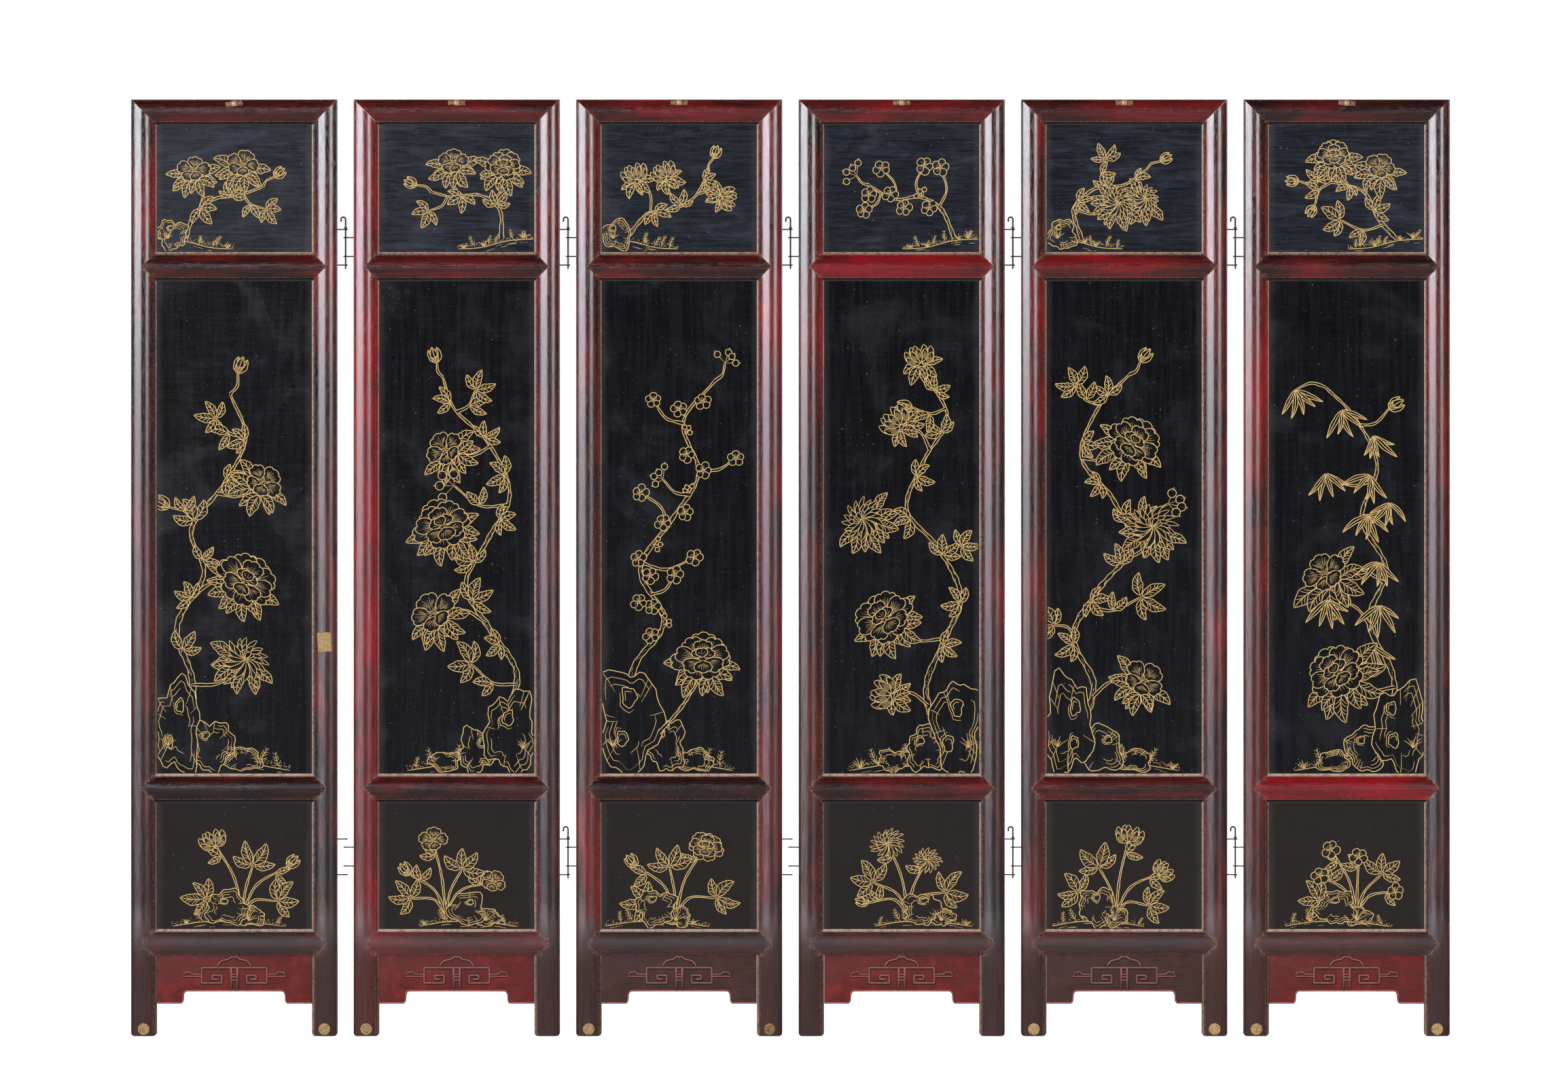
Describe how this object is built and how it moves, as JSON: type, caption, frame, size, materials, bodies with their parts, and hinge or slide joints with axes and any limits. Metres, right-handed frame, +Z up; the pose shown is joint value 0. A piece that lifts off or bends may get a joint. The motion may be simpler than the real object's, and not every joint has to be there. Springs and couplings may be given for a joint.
{
  "type": "folding screen",
  "caption": "Folding lacquer room screen with tall mitred leaves, three decorated fields on each, carved aprons, and iron eyes with lift-out pins as hinges.",
  "frame": {"origin": "on the floor under the middle of the open screen, at the bottom centre of its bounding box", "axes": "+X along the row to the right of someone facing the decorated side, the decorated side faces -Y, +Z up"},
  "size_m": [2.59, 0.031, 1.84],
  "materials": {
    "frame_lacquer": "worn maroon gloss lacquer on hardwood",
    "apron_lacquer": "satin brick-red lacquer on carved hardwood",
    "board_lacquer": "black gloss lacquer with fine specks",
    "gilt": "raised matt gilt line work",
    "iron": "dark forged wire with rust",
    "brass": "tarnished sheet brass",
    "cork": "pressed cork"
  },
  "bodies": {
    "leaf_1": {"leaf_1_left_stile": "frame_lacquer", "leaf_1_right_stile": "frame_lacquer", "leaf_1_top_rail": "frame_lacquer", "leaf_1_upper_rail": "frame_lacquer", "leaf_1_lower_rail": "frame_lacquer", "leaf_1_bottom_rail": "frame_lacquer", "leaf_1_apron": "apron_lacquer", "leaf_1_board": "board_lacquer"},
    "leaf_2": {"leaf_2_left_stile": "frame_lacquer", "leaf_2_right_stile": "frame_lacquer", "leaf_2_top_rail": "frame_lacquer", "leaf_2_upper_rail": "frame_lacquer", "leaf_2_lower_rail": "frame_lacquer", "leaf_2_bottom_rail": "frame_lacquer", "leaf_2_apron": "apron_lacquer", "leaf_2_board": "board_lacquer"},
    "leaf_3": {"leaf_3_left_stile": "frame_lacquer", "leaf_3_right_stile": "frame_lacquer", "leaf_3_top_rail": "frame_lacquer", "leaf_3_upper_rail": "frame_lacquer", "leaf_3_lower_rail": "frame_lacquer", "leaf_3_bottom_rail": "frame_lacquer", "leaf_3_apron": "apron_lacquer", "leaf_3_board": "board_lacquer"},
    "leaf_4": {"leaf_4_left_stile": "frame_lacquer", "leaf_4_right_stile": "frame_lacquer", "leaf_4_top_rail": "frame_lacquer", "leaf_4_upper_rail": "frame_lacquer", "leaf_4_lower_rail": "frame_lacquer", "leaf_4_bottom_rail": "frame_lacquer", "leaf_4_apron": "apron_lacquer", "leaf_4_board": "board_lacquer"},
    "leaf_5": {"leaf_5_left_stile": "frame_lacquer", "leaf_5_right_stile": "frame_lacquer", "leaf_5_top_rail": "frame_lacquer", "leaf_5_upper_rail": "frame_lacquer", "leaf_5_lower_rail": "frame_lacquer", "leaf_5_bottom_rail": "frame_lacquer", "leaf_5_apron": "apron_lacquer", "leaf_5_board": "board_lacquer"},
    "leaf_6": {"leaf_6_left_stile": "frame_lacquer", "leaf_6_right_stile": "frame_lacquer", "leaf_6_top_rail": "frame_lacquer", "leaf_6_upper_rail": "frame_lacquer", "leaf_6_lower_rail": "frame_lacquer", "leaf_6_bottom_rail": "frame_lacquer", "leaf_6_apron": "apron_lacquer", "leaf_6_board": "board_lacquer"},
    "upper_pin_1_2": {"upper_pin_1_2": "iron"},
    "upper_pin_2_3": {"upper_pin_2_3": "iron"},
    "lower_pin_2_3": {"lower_pin_2_3": "iron"},
    "upper_pin_3_4": {"upper_pin_3_4": "iron"},
    "upper_pin_4_5": {"upper_pin_4_5": "iron"},
    "lower_pin_4_5": {"lower_pin_4_5": "iron"},
    "upper_pin_5_6": {"upper_pin_5_6": "iron"},
    "lower_pin_5_6": {"lower_pin_5_6": "iron"}
  },
  "joints": [
    {"name": "fold_1_2", "type": "hinge", "parent": "leaf_1", "child": "leaf_2", "pos_m": [-0.874, 0.0015, 0.92], "axis": [0, 0, -1], "range_deg": [-95, 95]},
    {"name": "fold_2_3", "type": "hinge", "parent": "leaf_2", "child": "leaf_3", "pos_m": [-0.437, 0.0015, 0.92], "axis": [0, 0, 1], "range_deg": [-95, 95]},
    {"name": "fold_3_4", "type": "hinge", "parent": "leaf_3", "child": "leaf_4", "pos_m": [0, 0.0015, 0.92], "axis": [0, 0, -1], "range_deg": [-95, 95]},
    {"name": "fold_4_5", "type": "hinge", "parent": "leaf_4", "child": "leaf_5", "pos_m": [0.437, 0.0015, 0.92], "axis": [0, 0, 1], "range_deg": [-95, 95]},
    {"name": "fold_5_6", "type": "hinge", "parent": "leaf_5", "child": "leaf_6", "pos_m": [0.874, 0.0015, 0.92], "axis": [0, 0, -1], "range_deg": [-95, 95]},
    {"name": "upper_lift_1_2", "type": "slide", "parent": "leaf_1", "child": "upper_pin_1_2", "axis": [0, 0, 1], "range_m": [0, 0.085]},
    {"name": "upper_lift_2_3", "type": "slide", "parent": "leaf_2", "child": "upper_pin_2_3", "axis": [0, 0, 1], "range_m": [0, 0.085]},
    {"name": "lower_lift_2_3", "type": "slide", "parent": "leaf_2", "child": "lower_pin_2_3", "axis": [0, 0, 1], "range_m": [0, 0.085]},
    {"name": "upper_lift_3_4", "type": "slide", "parent": "leaf_3", "child": "upper_pin_3_4", "axis": [0, 0, 1], "range_m": [0, 0.085]},
    {"name": "upper_lift_4_5", "type": "slide", "parent": "leaf_4", "child": "upper_pin_4_5", "axis": [0, 0, 1], "range_m": [0, 0.085]},
    {"name": "lower_lift_4_5", "type": "slide", "parent": "leaf_4", "child": "lower_pin_4_5", "axis": [0, 0, 1], "range_m": [0, 0.085]},
    {"name": "upper_lift_5_6", "type": "slide", "parent": "leaf_5", "child": "upper_pin_5_6", "axis": [0, 0, 1], "range_m": [0, 0.085]},
    {"name": "lower_lift_5_6", "type": "slide", "parent": "leaf_5", "child": "lower_pin_5_6", "axis": [0, 0, 1], "range_m": [0, 0.085]}
  ]
}
